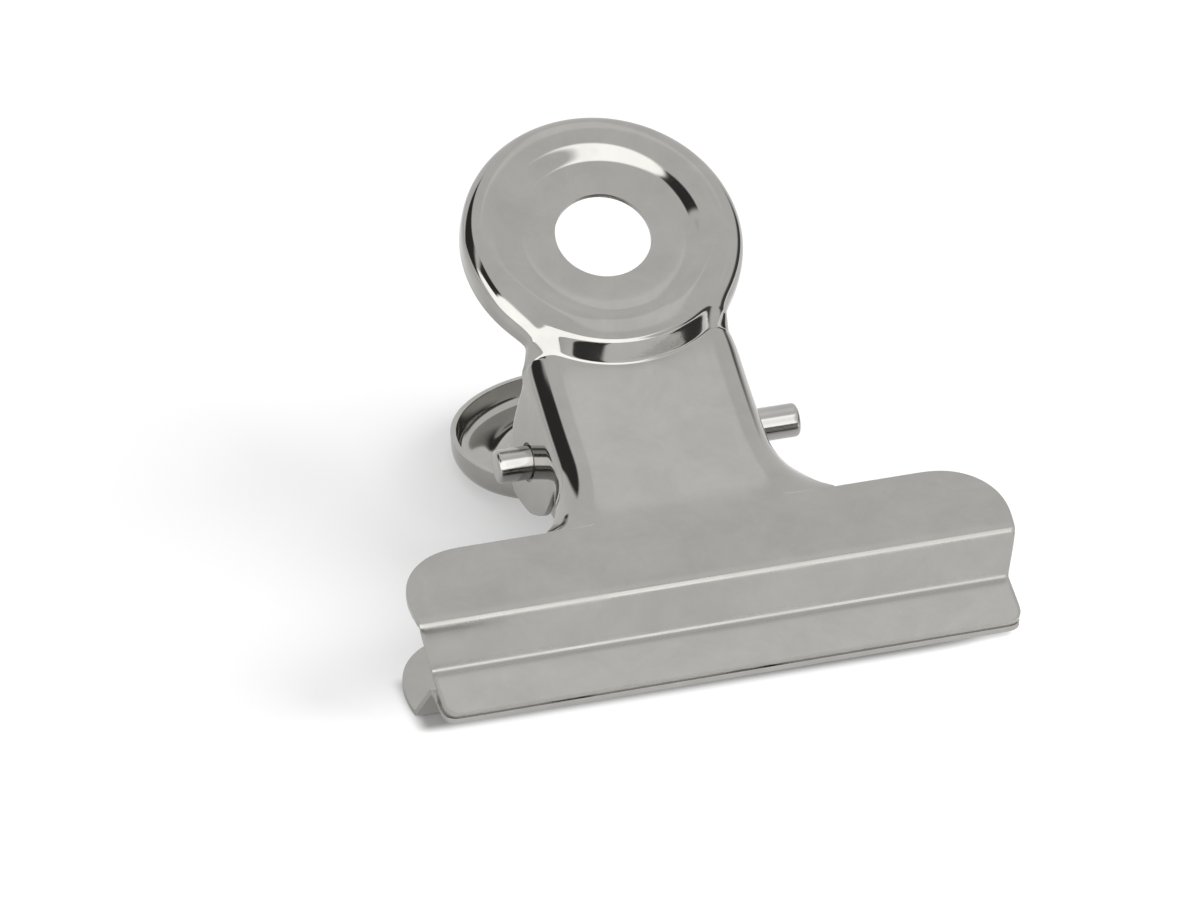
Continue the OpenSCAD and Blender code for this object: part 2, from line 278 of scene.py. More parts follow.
def hollow_cuts(plate, step, rim_cut, ear_cut):
    """Round the hollow, where the rim's edge opens into the ear's bend and its wall into the ear."""
    rim_end = rim_cut[-1][1:]
    rim_wall, ear_wall = rim_end - rim_cut[BEND_END][1:], EAR_TOP - ear_cut[BEND_END][1:]
    cuts = []
    for i in range(1, len(STEP)):
        # t goes from 0 at the rim's end towards 1 at the ear's top, and stops a little short of it
        t = i / (len(STEP) + 0.6)
        side_x, side_s = neck_side(plate, STEP[i][0])
        out = np.array([1.0, 0.0])
        if side_s > plate.hollow_s:
            out = np.array([plate.hollow_x - side_x, plate.hollow_s - side_s]) / HOLLOW_R
        r = EDGE_R + (EAR_BEND_R - EDGE_R) * t
        bend = math.pi / 2 + (plate.bend - math.pi / 2) * t
        h = (step[i][0][1:] - HEAD_C) @ HEAD_N
        cut = []
        for k in BEND_STEPS:
            reach, drop = r * math.sin(bend * k), r * (1 - math.cos(bend * k))
            cut.append(on_head(side_x + out[0] * reach, side_s + out[1] * reach, h - drop))
        # the free edge keeps between the line beside the bend and the straight line to the ear's top
        beside_bend = cut[-1][1:] + (1 - t) * rim_wall + t * ear_wall
        straight = rim_end + t * (EAR_TOP - rim_end)
        yz = HOLLOW_EDGE_SAG * beside_bend + (1 - HOLLOW_EDGE_SAG) * straight
        share = 3 * t * t - 2 * t ** 3
        end = np.array([(1 - share) * cut[-1][0] + share * ear_x(plate, *yz), *yz])
        cuts.append([*cut, (cut[-1] + end) / 2, end])
    return cuts


def wing_cuts(plate, wall_share):
    """Below the notch, where the bend opens out into the wing.

    The sheet's free edge runs from the notch out and down to the wing's top. Each cut is an arc with a
    straight wall that ends on that edge, wall_share of the arc long at the notch and less further down.
    """
    cuts = []
    for z in BELOW_NOTCH:
        t = (NOTCH_Z - z) / (NOTCH_Z - WING_TOP)
        inward = neck_inward(z)
        across = ear_x(plate, *NOTCH) + EDGE_OUT * t + EDGE_FLARE * t ** 8 - plate.edge_x
        depth = max(neck_out(z) - (NOTCH[0] + (RIDGE_OUT - NOTCH[0]) * t), 0) / -inward[0]
        share = wall_share + (WING_WALL - wall_share) * t
        # halve the range of the arc's angle until arc and wall together reach the edge
        low, high = 1e-4, plate.bend
        for _ in range(40):
            b = (low + high) / 2
            rise = (1 - math.cos(b) + share * b * math.sin(b)) / (math.sin(b) + share * b * math.cos(b))
            low, high = (b, high) if rise < depth / across else (low, b)
        r = across / (math.sin(b) + share * b * math.cos(b))
        places = [(r * math.sin(b * k), r * (1 - math.cos(b * k))) for k in BEND_STEPS]
        for _ in range(2):
            reach, drop = places[-1]
            places.append((reach + math.cos(b) * r * b * share / 2, drop + math.sin(b) * r * b * share / 2))
        start = np.array([neck_out(z), z])
        cuts.append([np.array([plate.edge_x + reach, *(start + inward * drop)]) for reach, drop in places])
    return cuts


def ear_rings(plate, bend_line, ear, hole_r):
    """The flat of an ear, as rings from the pin's hole out to the bend and the ear's outline."""
    outline = spaced(round_path([[*NOTCH, 0], *ear, [*EAR_TOP, 0]], 6), EAR_SIDES)
    loop = [p[1:] for p in bend_line] + list(outline[1:-1])
    turn = np.unwrap([math.atan2(p[1], p[0]) for p in loop])
    whole = math.copysign(2 * math.pi, turn[-1] - turn[0])
    even = np.linspace(turn[0], turn[0] + whole, len(loop) + 1)[:-1]
    rings = []
    for share in EAR_RINGS:
        ring = []
        for p, a in zip(loop, (1 - EAR_EVENNESS) * turn + EAR_EVENNESS * even):
            yz = (1 - share) * hole_r * np.array([math.cos(a), math.sin(a)]) + share * p
            ring.append([ear_x(plate, *yz), *yz])
        rings.append(ring + ring[:1])
    return rings


def jaw_rows(inner, ridge_r):
    """The jaw: wings with rounded corners, ridge, facet, crease and lip. inner is the row above it."""
    rows = []
    for degrees in range(0, 91, 15):
        a = math.radians(degrees)
        rows.append((RIDGE_OUT, WING_TOP - WING_CORNER_R * (1 - math.cos(a)),
                     WING_HALF - WING_CORNER_R * (1 - math.sin(a))))
    bends = round_path([[RIDGE_OUT, WING_TOP, 0], [*RIDGE, ridge_r], [*CREASE, CREASE_R], [*LIP_END, 0]], 3)
    ridge, crease, end = bends[1:5], bends[5:9], bends[9]
    facet, lip = crease[0] - ridge[-1], end - crease[-1]
    # half widths of the rows: the sides draw in from the wings to the lip, a little at each row
    above_ridge, on_ridge = ((-30.0, 37.45), (-31.2, 37.3)), (37.2, 37.15, 37.1, 37.05)
    on_facet, on_crease = ((0.12, 37.0), (0.5, 36.6), (0.88, 36.15)), (36.05, LIP_HALF, LIP_HALF, LIP_HALF)
    rows += [(RIDGE_OUT, z, half) for z, half in above_ridge]
    rows += [(*p, half) for p, half in zip(ridge, on_ridge)]
    rows += [(*(ridge[-1] + facet * k), half) for k, half in on_facet]
    rows += [(*p, half) for p, half in zip(crease, on_crease)]
    rows += [(*(crease[-1] + lip * k), LIP_HALF) for k in (0.1, 0.4)]
    for degrees in range(0, 91, 30):
        a = math.radians(degrees)
        back = lip / np.linalg.norm(lip) * (LIP_CORNER_R * (1 - math.sin(a)))
        rows.append((*(end - back), LIP_HALF - LIP_CORNER_R * (1 - math.cos(a))))
    jaw = []
    for y, z, half in rows:
        outer = [inner[-1] + (half - inner[-1]) * k / WING_COLUMNS for k in range(1, WING_COLUMNS + 1)]
        jaw.append([[x, y, z] for x in inner + outer])
    return jaw


def plate_skin(half, ears_half, ear, hole_r, ridge_r):
    """Patches of the outer skin of half a plate, each a grid of points."""
    plate = measure_neck(half, ears_half)
    step = step_rows(plate)
    neck = neck_rows(plate, step[-1])
    rim, ears = rim_cuts(plate), ear_cuts(plate, neck)
    wall_share = np.linalg.norm(ears[-1][-1] - ears[-1][BEND_END]) / (EAR_BEND_R * plate.bend)
    strip = rim + hollow_cuts(plate, step, rim[-1], ears[0]) + ears + wing_cuts(plate, wall_share)
    ear_flat = ear_rings(plate, [cut[-1] for cut in ears], ear, hole_r)
    inner = [p[0] for p in neck[-1]][::-1] + [p[0] for p in strip[-1][1:]]
    return [head_rings(plate), step, neck, strip, ear_flat, jaw_rows(inner, ridge_r)]


# How many times a scratch is drawn out along x, y and z, and how detailed it is
SCRATCH_STRETCH, SCRATCH_DETAIL = (1, 40, 14), 3


def wiping_marks():
    """Node group of the plating's marks: a gloss that varies, fine wiping scratches and a thin film."""
    group = bpy.data.node_groups.new("wiping_marks", "ShaderNodeTree")
    group.interface.new_socket("Vector", in_out="INPUT", socket_type="NodeSocketVector")
    for name in ("Gloss", "Height", "Film"):
        group.interface.new_socket(name, in_out="OUTPUT", socket_type="NodeSocketFloat")
    nodes, link = group.nodes, group.links.new
    ins, outs = nodes.new("NodeGroupInput"), nodes.new("NodeGroupOutput")
    # three crossing sets of scratches: the way they run, how fine they are and how deep
    heights = []
    for turn, scale, amount in ((0.5, 2600, 0.5), (-0.9, 2100, 0.35), (1.4, 3100, 0.3)):
        spin = nodes.new("ShaderNodeVectorRotate")
        spin.rotation_type = "Z_AXIS"
        spin.inputs["Angle"].default_value = turn
        stretch = nodes.new("ShaderNodeMapping")
        stretch.inputs["Scale"].default_value = [scale / longer for longer in SCRATCH_STRETCH]
        noise = nodes.new("ShaderNodeTexNoise")
        noise.inputs["Scale"].default_value = 1
        noise.inputs["Detail"].default_value = SCRATCH_DETAIL
        weigh = nodes.new("ShaderNodeMath")
        weigh.operation = "MULTIPLY"
        weigh.inputs[1].default_value = amount
        link(ins.outputs["Vector"], spin.inputs["Vector"])
        link(spin.outputs[0], stretch.inputs["Vector"])
        link(stretch.outputs[0], noise.inputs["Vector"])
        link(noise.outputs["Fac"], weigh.inputs[0])
        heights.append(weigh.outputs[0])
    total = heights[0]
    for h in heights[1:]:
        add = nodes.new("ShaderNodeMath")
        link(total, add.inputs[0])
        link(h, add.inputs[1])
        total = add.outputs[0]
    link(total, outs.inputs["Height"])
    # two cloudy masks: how fine, how detailed, rough and warped, and the level below which they are clear
    clouds = (("Gloss", 90, 5, 0.6, 0, 0.3), ("Film", 170, 4, 0.65, 0.4, 0.32))
    for output, scale, detail, roughness, distortion, clear in clouds:
        cloud = nodes.new("ShaderNodeTexNoise")
        cloud.inputs["Scale"].default_value = scale
        cloud.inputs["Detail"].default_value = detail
        cloud.inputs["Roughness"].default_value = roughness
        cloud.inputs["Distortion"].default_value = distortion
        spread = nodes.new("ShaderNodeMapRange")
        spread.inputs["From Min"].default_value = clear
        spread.inputs["From Max"].default_value = 1 - clear
        link(ins.outputs["Vector"], cloud.inputs["Vector"])
        link(cloud.outputs["Fac"], spread.inputs["Value"])
        link(spread.outputs[0], outs.inputs[output])
    return group


marks = wiping_marks()

# How much the film darkens and lightens the colour, how rough it leaves a sharp bend, and the slow swell
# that pressing leaves in a flat
FILM_TINT, BEND_ROUGH = (0.945, 1.045), (0.16, 0.34)
SWELL_SCALE, SWELL_DETAIL = 260, 1


def bright_metal(name, color, rough, wave, scratch):
    """Polished metal: rough is its least and most roughness, wave and scratch are heights in metres."""
    material = bpy.data.materials.new(name)
    material.use_nodes = True
    nodes, link = material.node_tree.nodes, material.node_tree.links.new
    shader = nodes["Principled BSDF"]
    shader.inputs["Metallic"].default_value = 1
    coords = nodes.new("ShaderNodeTexCoord")
    worn = nodes.new("ShaderNodeGroup")
    worn.node_tree = marks
    link(coords.outputs["Object"], worn.inputs["Vector"])
    tint = nodes.new("ShaderNodeMix")
    tint.data_type = "RGBA"
    tint.inputs["A"].default_value = (*(c * FILM_TINT[0] for c in color), 1)
    tint.inputs["B"].default_value = (*(c * FILM_TINT[1] for c in color), 1)
    link(worn.outputs["Film"], tint.inputs["Factor"])
    link(tint.outputs["Result"], shader.inputs["Base Color"])
    gloss = nodes.new("ShaderNodeMapRange")
    gloss.inputs["To Min"].default_value = rough[0]
    gloss.inputs["To Max"].default_value = rough[1]
    link(worn.outputs["Gloss"], gloss.inputs["Value"])
    # the plating is duller over sharp bends, where the sheet was stretched
    bent = nodes.new("ShaderNodeAttribute")
    bent.attribute_name = "bent"
    dulling = nodes.new("ShaderNodeMapRange")
    dulling.inputs["To Min"].default_value = BEND_ROUGH[0]
    dulling.inputs["To Max"].default_value = BEND_ROUGH[1]
    link(worn.outputs["Film"], dulling.inputs["Value"])
    dull = nodes.new("ShaderNodeMath")
    dull.operation = "MULTIPLY_ADD"
    link(bent.outputs["Fac"], dull.inputs[0])
    link(dulling.outputs[0], dull.inputs[1])
    link(gloss.outputs[0], dull.inputs[2])
    link(dull.outputs[0], shader.inputs["Roughness"])
    swell = nodes.new("ShaderNodeTexNoise")
    swell.inputs["Scale"].default_value = SWELL_SCALE
    swell.inputs["Detail"].default_value = SWELL_DETAIL
    link(coords.outputs["Object"], swell.inputs["Vector"])
    normal = None
    for height, distance in ((swell.outputs["Fac"], wave), (worn.outputs["Height"], scratch)):
        bump = nodes.new("ShaderNodeBump")
        bump.inputs["Strength"].default_value = 1
        bump.inputs["Distance"].default_value = distance
        link(height, bump.inputs["Height"])
        if normal:
            link(normal, bump.inputs["Normal"])
        normal = bump.outputs[0]
    link(normal, shader.inputs["Normal"])
    return material


# A slightly warm grey mirror. The cut edges carry the same plating over the torn grain of the shears.
nickel = bright_metal("nickel_plate", color=(0.412, 0.402, 0.381), rough=(0.05, 0.10),
                      wave=0.000010, scratch=0.000001)
sheared = bright_metal("nickel_sheared_edge", color=(0.43, 0.42, 0.40), rough=(0.25, 0.38),
                       wave=0.000004, scratch=0.000006)

# How far the dulling reaches round a bend and how strong it is, and how far a cut edge is broken
DULL_REACH, DULL_GAIN = 1.1, 1.6
BROKEN_EDGE, BROKEN_ANGLE = 0.09, math.radians(55)


def press_plate(name, side, half, ears_half, ear, hole_r, ridge_r):
    """One whole plate: the skin mirrored, made smooth, given its thickness and its cut edges broken."""
    verts, faces, index = [], [], {}

    def vertex(p):
        key = tuple(np.round(p, 4))
        if key not in index:
            index[key] = len(verts)
            verts.append(key)
        return index[key]

    for patch in plate_skin(half, ears_half, ear, hole_r, ridge_r):
        for mirror in (1, -1):
            # adding 0.0 makes a negative zero plain, so both halves share the points in the middle
            grid = [[vertex((mirror * p[0] + 0.0, p[1], p[2])) for p in row] for row in patch]
            for a, b in zip(grid, grid[1:]):
                for i in range(len(a) - 1):
                    quad = [a[i], a[i + 1], b[i + 1], b[i]]
                    if len(set(quad)) == 4:
                        faces.append(quad if mirror == 1 else quad[::-1])
    mesh = bpy.data.meshes.new(name)
    mesh.from_pydata([tuple(v) for v in lay(verts, side)], [], faces)
    off_bend = np.array([min(math.dist(v[1:], bend) for bend in (RIDGE, CREASE)) for v in verts])
    bent = DULL_GAIN * (1 - off_bend / DULL_REACH)
    mesh.attributes.new("bent", "FLOAT", "POINT").data.foreach_set("value", np.clip(bent, 0, 1))
    bm = bmesh.new()
    bm.from_mesh(mesh)
    bmesh.ops.recalc_face_normals(bm, faces=bm.faces)
    # the skin's outer side faces away from the plane between the plates, as seen at the lip
    outward = Vector(lay((0, 1, 0), side) - lay((0, 0, 0), side)).normalized()
    lip_start = lay((0, *CREASE), side)[1]
    lip = [f for f in bm.faces if f.calc_center_median().y < lip_start]
    if sum(f.normal.dot(outward) for f in lip) < 0:
        bmesh.ops.reverse_faces(bm, faces=bm.faces)
    bm.to_mesh(mesh)
    bm.free()
    mesh.materials.append(nickel)
    mesh.materials.append(sheared)
    plate = bpy.data.objects.new(name, mesh)
    bpy.context.collection.objects.link(plate)
    smooth = plate.modifiers.new("smooth", "SUBSURF")
    smooth.levels = smooth.render_levels = 2
    thick = plate.modifiers.new("thickness", "SOLIDIFY")
    thick.thickness = SHEET / 1000
    thick.offset = -1
    thick.use_even_offset = True
    thick.material_offset_rim = 1
    broken = plate.modifiers.new("broken_edges", "BEVEL")
    broken.width = BROKEN_EDGE / 1000
    broken.segments = 2
    broken.limit_method = "ANGLE"
    broken.angle_limit = BROKEN_ANGLE
    depsgraph = bpy.context.evaluated_depsgraph_get()
    done = bpy.data.meshes.new_from_object(plate.evaluated_get(depsgraph))
    plate.modifiers.clear()
    plate.data = done
    done.name = name
    done.polygons.foreach_set("use_smooth", [True] * len(done.polygons))
    return plate


# The ear's outline in the side view between the notch and its top, as [y, z, corner radius]
FRONT_EAR = [[-2, -8, 4], [-5.2, -3.6, 2], [-7, 2.8, 3], [-4, 5.4, 4], [1, 6.6, 8]]
front_plate = press_plate("front_plate_skin", FRONT, half=13.1, ears_half=14.4, ear=FRONT_EAR,
                          hole_r=2.45, ridge_r=0.8)
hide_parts("front_plate")
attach(front_plate, "front_half")

# Rear plate
# Nearly the same pressing in the same plated sheet, narrower at the neck, so that its ears stand inside
# the front ones and hold the pin tight. The clip lies on its head and on its ridge, which is rounder.
REAR_EAR = [[-2, -7.6, 3], [-5.4, -3.4, 2], [-6.4, 2.6, 3], [-4, 5.2, 3], [1, 6.2, 8]]
rear_plate = press_plate("rear_plate_skin", REAR, half=12.0, ears_half=12.0, ear=REAR_EAR,
                         hole_r=2.1, ridge_r=1.3)
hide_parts("rear_plate")
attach(rear_plate, "rear_half")

# Hinge pin
# A cut length of bright plated rod through all four ears, pressed into the rear ones, its ends barrelled
# by tumbling. It is drawn as a lathe turns, and it stands out a little further on the right.
PIN_R, PIN_HALF, PIN_SHIFT = 2.1, 19.3, 0.8
PIN_STRAIGHT = PIN_HALF - 1.8
PIN_SIDES, PIN_RINGS = 64, 14
# the barrelled end, as radius and how far in from the rod's end
BARREL = ((0.8, 0), (1.4, 0.01), (1.72, 0.05), (1.9, 0.13),
          (2.02, 0.25), (2.08, 0.4), (PIN_R, 0.6), (PIN_R, 1.0))
profile = [(r, PIN_HALF - back) for r, back in BARREL]
profile += [(PIN_R, x) for x in np.linspace(PIN_STRAIGHT, -PIN_STRAIGHT, PIN_RINGS)]
profile += [(r, back - PIN_HALF) for r, back in BARREL[::-1]]
around = [2 * math.pi * k / PIN_SIDES for k in range(PIN_SIDES)]
points = [(x + PIN_SHIFT, r * math.cos(a), r * math.sin(a)) for r, x in profile for a in around]
quads = []
for start in range(0, len(points) - PIN_SIDES, PIN_SIDES):
    for k in range(PIN_SIDES):
        after = (k + 1) % PIN_SIDES
        quads.append((start + k, start + after, start + PIN_SIDES + after, start + PIN_SIDES + k))
ends = [tuple(range(PIN_SIDES))[::-1], tuple(range(len(points) - PIN_SIDES, len(points)))]
pin_mesh = bpy.data.meshes.new("pin_rod")
pin_mesh.from_pydata([tuple(p) for p in lay(points)], [], quads + ends)
pin_mesh.polygons.foreach_set("use_smooth", [True] * len(pin_mesh.polygons))
pin_mesh.materials.append(bright_metal("pin_nickel", color=(0.43, 0.42, 0.405), rough=(0.12, 0.2),
                                       wave=0.000004, scratch=0.000001))
pin = bpy.data.objects.new("pin_rod", pin_mesh)
bpy.context.collection.objects.link(pin)
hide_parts("hinge_pin")
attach(pin, "rear_half")

# Torsion spring
# Drawn steel wire wound round the pin. From each end of the coil a straight leg runs to a head, where
# the wire turns and lies flat under the sheet. Geometry Nodes sweep the round wire along that path.
WIRE_R, COIL_R, PITCH, TURNS = 0.8, 3.4, 2.1, 7
FOOT_DROP, FOOT_LEN, FOOT_TURN_R, FOOT_CLEAR = 3, 2.0, 2.0, 0.02
COIL_STEPS, FOOT_STEPS, WIRE_SIDES = 32 * TURNS + 20, 10, 20
foot_end = HEAD_C - HEAD_UP * FOOT_DROP - HEAD_N * (SHEET + WIRE_R + FOOT_CLEAR)
foot_start = foot_end - HEAD_UP * FOOT_LEN
foot_mid = foot_start - HEAD_N * FOOT_TURN_R
leg_turn = math.atan2(foot_mid[1], foot_mid[0])
leg_turn -= math.acos((COIL_R - FOOT_TURN_R) / np.linalg.norm(foot_mid))
coil_sweep = 2 * math.pi * TURNS + math.pi + 2 * leg_turn
coil_len = PITCH * coil_sweep / (2 * math.pi)
leg = [foot_end, foot_end * 0.5 + foot_start * 0.5, foot_start]
leg += [foot_mid + FOOT_TURN_R * np.array([math.cos(a), math.sin(a)])
        for a in np.linspace(-HEAD_LEAN, leg_turn, FOOT_STEPS + 1)[1:]]
to_coil = COIL_R * np.array([math.cos(leg_turn), math.sin(leg_turn)]) - leg[-1]
leg += [leg[-1] + to_coil * k for k in (0.25, 0.5, 0.75)]
wire = [(-coil_len / 2, *p) for p in leg]
for k in range(COIL_STEPS + 1):
    a = leg_turn - coil_sweep * k / COIL_STEPS
    wire.append((coil_len * (k / COIL_STEPS - 0.5), COIL_R * math.cos(a), COIL_R * math.sin(a)))
wire += [(coil_len / 2, -p[0], p[1]) for p in leg[::-1]]
curve = bpy.data.curves.new("spring_path", "CURVE")
curve.dimensions = "3D"
spline = curve.splines.new("POLY")
spline.points.add(len(wire) - 1)
for point, at in zip(spline.points, lay(wire)):
    point.co = (*at, 1)
path_object = bpy.data.objects.new("spring_path", curve)
bpy.context.collection.objects.link(path_object)

tree = bpy.data.node_groups.new("wound_wire", "GeometryNodeTree")
tree.interface.new_socket("Geometry", in_out="INPUT", socket_type="NodeSocketGeometry")
radius_socket = tree.interface.new_socket("Wire Radius", in_out="INPUT", socket_type="NodeSocketFloat")
sides_socket = tree.interface.new_socket("Sides", in_out="INPUT", socket_type="NodeSocketInt")
finish_socket = tree.interface.new_socket("Finish", in_out="INPUT", socket_type="NodeSocketMaterial")
tree.interface.new_socket("Geometry", in_out="OUTPUT", socket_type="NodeSocketGeometry")
nodes, link = tree.nodes, tree.links.new
ins, outs = nodes.new("NodeGroupInput"), nodes.new("NodeGroupOutput")
section = nodes.new("GeometryNodeCurvePrimitiveCircle")
draw_wire = nodes.new("GeometryNodeCurveToMesh")
draw_wire.inputs["Fill Caps"].default_value = True
realize = nodes.new("GeometryNodeRealizeInstances")
finish = nodes.new("GeometryNodeSetMaterial")
link(ins.outputs["Geometry"], draw_wire.inputs["Curve"])
link(ins.outputs["Wire Radius"], section.inputs["Radius"])
link(ins.outputs["Sides"], section.inputs["Resolution"])
link(section.outputs["Curve"], draw_wire.inputs["Profile Curve"])
link(draw_wire.outputs["Mesh"], realize.inputs["Geometry"])
link(realize.outputs["Geometry"], finish.inputs["Geometry"])
link(ins.outputs["Finish"], finish.inputs["Material"])
link(finish.outputs["Geometry"], outs.inputs["Geometry"])
spring_steel = bright_metal("spring_steel", color=(0.36, 0.35, 0.335), rough=(0.26, 0.36),
                            wave=0.000004, scratch=0.000003)
wound = path_object.modifiers.new("wound_wire", "NODES")
wound.node_group = tree
wound[radius_socket.identifier] = WIRE_R / 1000
wound[sides_socket.identifier] = WIRE_SIDES
wound[finish_socket.identifier] = spring_steel
depsgraph = bpy.context.evaluated_depsgraph_get()
spring_mesh = bpy.data.meshes.new_from_object(path_object.evaluated_get(depsgraph))
spring_mesh.polygons.foreach_set("use_smooth", [True] * len(spring_mesh.polygons))
spring = bpy.data.objects.new("spring_wire", spring_mesh)
bpy.context.collection.objects.link(spring)
bpy.data.objects.remove(path_object)
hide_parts("torsion_spring")
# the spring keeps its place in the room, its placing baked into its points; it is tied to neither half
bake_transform(spring)

# Floor
# A plain white table top. The camera sees it a little lifted, to white, and more in a painted pool of light
# in front of the jaws that wipes out the clip's shade there; a painted shadow line takes the lift away where
# the rear ridge rests on it, and elsewhere the clip's shadow stays on it. The metal also reflects two dark
# mats that lie on it outside the picture, on the left and on the right.

# Half its size, and the hair's breadth by which it lies under the clip, in metres
FLOOR_HALF, FLOOR_DROP = 6, 0.00003
corners = [(x * FLOOR_HALF, y * FLOOR_HALF, 0) for x, y in ((-1, -1), (1, -1), (1, 1), (-1, 1))]
floor_mesh = bpy.data.meshes.new("floor")
floor_mesh.from_pydata(corners, [], [(0, 1, 2, 3)])
floor = bpy.data.objects.new("floor", floor_mesh)
floor.location.z = -FLOOR_DROP
bpy.context.collection.objects.link(floor)


def card_group():
    """Mask of a soft-edged rectangular card, placed by its middle and by the way its length runs."""
    group = bpy.data.node_groups.new("soft_card", "ShaderNodeTree")
    for name, kind in (("Vector", "Vector"), ("Middle", "Vector"), ("Along", "Vector"), ("Across", "Vector"),
                       ("Half Length", "Float"), ("Half Width", "Float"), ("Edge", "Float")):
        group.interface.new_socket(name, in_out="INPUT", socket_type="NodeSocket" + kind)
    group.interface.new_socket("Mask", in_out="OUTPUT", socket_type="NodeSocketFloat")
    nodes, link = group.nodes, group.links.new
    ins, outs = nodes.new("NodeGroupInput"), nodes.new("NodeGroupOutput")

    def combine(kind, a, b=None):
        node = nodes.new("ShaderNodeMath")
        node.operation = kind
        link(a, node.inputs[0])
        if b is not None:
            link(b, node.inputs[1])
        return node.outputs[0]

    def dot(a, b):
        node = nodes.new("ShaderNodeVectorMath")
        node.operation = "DOT_PRODUCT"
        link(a, node.inputs[0])
        link(b, node.inputs[1])
        return node.outputs["Value"]

    offset = nodes.new("ShaderNodeVectorMath")
    offset.operation = "SUBTRACT"
    link(ins.outputs["Vector"], offset.inputs[0])
    link(ins.outputs["Middle"], offset.inputs[1])
    masks = []
    for axis, half in (("Along", "Half Length"), ("Across", "Half Width")):
        ramp = nodes.new("ShaderNodeMapRange")
        ramp.interpolation_type = "SMOOTHSTEP"
        ramp.inputs["To Min"].default_value = 1
        ramp.inputs["To Max"].default_value = 0
        link(combine("ABSOLUTE", dot(offset.outputs[0], ins.outputs[axis])), ramp.inputs["Value"])
        link(combine("SUBTRACT", ins.outputs[half], ins.outputs["Edge"]), ramp.inputs["From Min"])
        link(combine("ADD", ins.outputs[half], ins.outputs["Edge"]), ramp.inputs["From Max"])
        masks.append(ramp.outputs[0])
    # a card in the room shows only in its own direction, not in the opposite one
    ahead = nodes.new("ShaderNodeMath")
    ahead.operation = "GREATER_THAN"
    ahead.inputs[1].default_value = 0
    link(dot(ins.outputs["Vector"], ins.outputs["Middle"]), ahead.inputs[0])
    link(combine("MULTIPLY", combine("MULTIPLY", *masks), ahead.outputs[0]), outs.inputs["Mask"])
    return group


card = card_group()


def even_level(tree, level):
    """The same level everywhere, which cards are then hung or laid over."""
    value = tree.nodes.new("ShaderNodeValue")
    value.outputs[0].default_value = level
    return value.outputs[0]


def hang_card(tree, vector, tone, middle, along, across, half_length, half_width, edge, level):
    """Mixes the tone so far with a card's own level where the card is."""
    nodes, link = tree.nodes, tree.links.new
    node = nodes.new("ShaderNodeGroup")
    node.node_tree = card
    link(vector, node.inputs["Vector"])
    for name, value in (("Middle", middle), ("Along", along), ("Across", across),
                        ("Half Length", half_length), ("Half Width", half_width), ("Edge", edge)):
        node.inputs[name].default_value = value
    mix = nodes.new("ShaderNodeMix")
    link(node.outputs["Mask"], mix.inputs["Factor"])
    link(tone, mix.inputs["A"])
    mix.inputs["B"].default_value = level
    return mix.outputs["Result"]


white_top = bpy.data.materials.new("floor_white")
white_top.use_nodes = True
top_tree = white_top.node_tree
nodes, link = top_tree.nodes, top_tree.links.new
nodes.remove(nodes["Principled BSDF"])
rays = nodes.new("ShaderNodeLightPath")
place = nodes.new("ShaderNodeTexCoord").outputs["Object"]


def lay_card(base, middle, along, half_length, half_width, edge, level):
    """Lays a card flat on the table, over what is there so far. Places and sizes are in metres."""
    along = Vector((*along, 0)).normalized()
    across = Vector((-along.y, along.x, 0))
    return hang_card(top_tree, place, base, (*middle, 0), along, across, half_length, half_width, edge, level)


# The table's grey, and what is added to it for reflections and for the camera: over the camera's lift, a
# painted pool of light in front of the jaws that wipes out the clip's shade there, and a painted shadow, a
# thin dark band along where the ridge rests, where the lift drops to almost nothing. Each card has its
# middle, the way its length runs, half its length and width, soft edge and level.
FLOOR_GREY, GLOSSY_LIFT, CAMERA_LIFT = 0.42, 0.25, 0.38
# painted light: a pool of light in front of the jaws, seen only by the camera, that wipes out the clip's
# shade there
PAINTED_LIGHT_BEFORE_JAWS = ((0.008, -0.050), (1, 0), 0.055, 0.022, 0.016, 0.93)
# painted shadow: a dark contact line along where the rear ridge rests, seen only by the camera
PAINTED_RIDGE_SHADOW = ((0, -0.0279), (1, -0.010), 0.0372, 0.006, 0.0013, 0.04)
seen = even_level(top_tree, CAMERA_LIFT)
for painted_card in (PAINTED_LIGHT_BEFORE_JAWS, PAINTED_RIDGE_SHADOW):
    seen = lay_card(seen, *painted_card)
glossy_lift = nodes.new("ShaderNodeMath")
glossy_lift.operation = "MULTIPLY"
glossy_lift.inputs[1].default_value = GLOSSY_LIFT
link(rays.outputs["Is Glossy Ray"], glossy_lift.inputs[0])
added = nodes.new("ShaderNodeMath")
added.operation = "MULTIPLY_ADD"
link(seen, added.inputs[0])
link(rays.outputs["Is Camera Ray"], added.inputs[1])
link(glossy_lift.outputs[0], added.inputs[2])
lift = nodes.new("ShaderNodeEmission")
link(added.outputs[0], lift.inputs["Strength"])
matte = nodes.new("ShaderNodeBsdfDiffuse")
matte.inputs["Color"].default_value = (FLOOR_GREY, FLOOR_GREY, FLOOR_GREY, 1)
both = nodes.new("ShaderNodeAddShader")
link(matte.outputs[0], both.inputs[0])
link(lift.outputs[0], both.inputs[1])

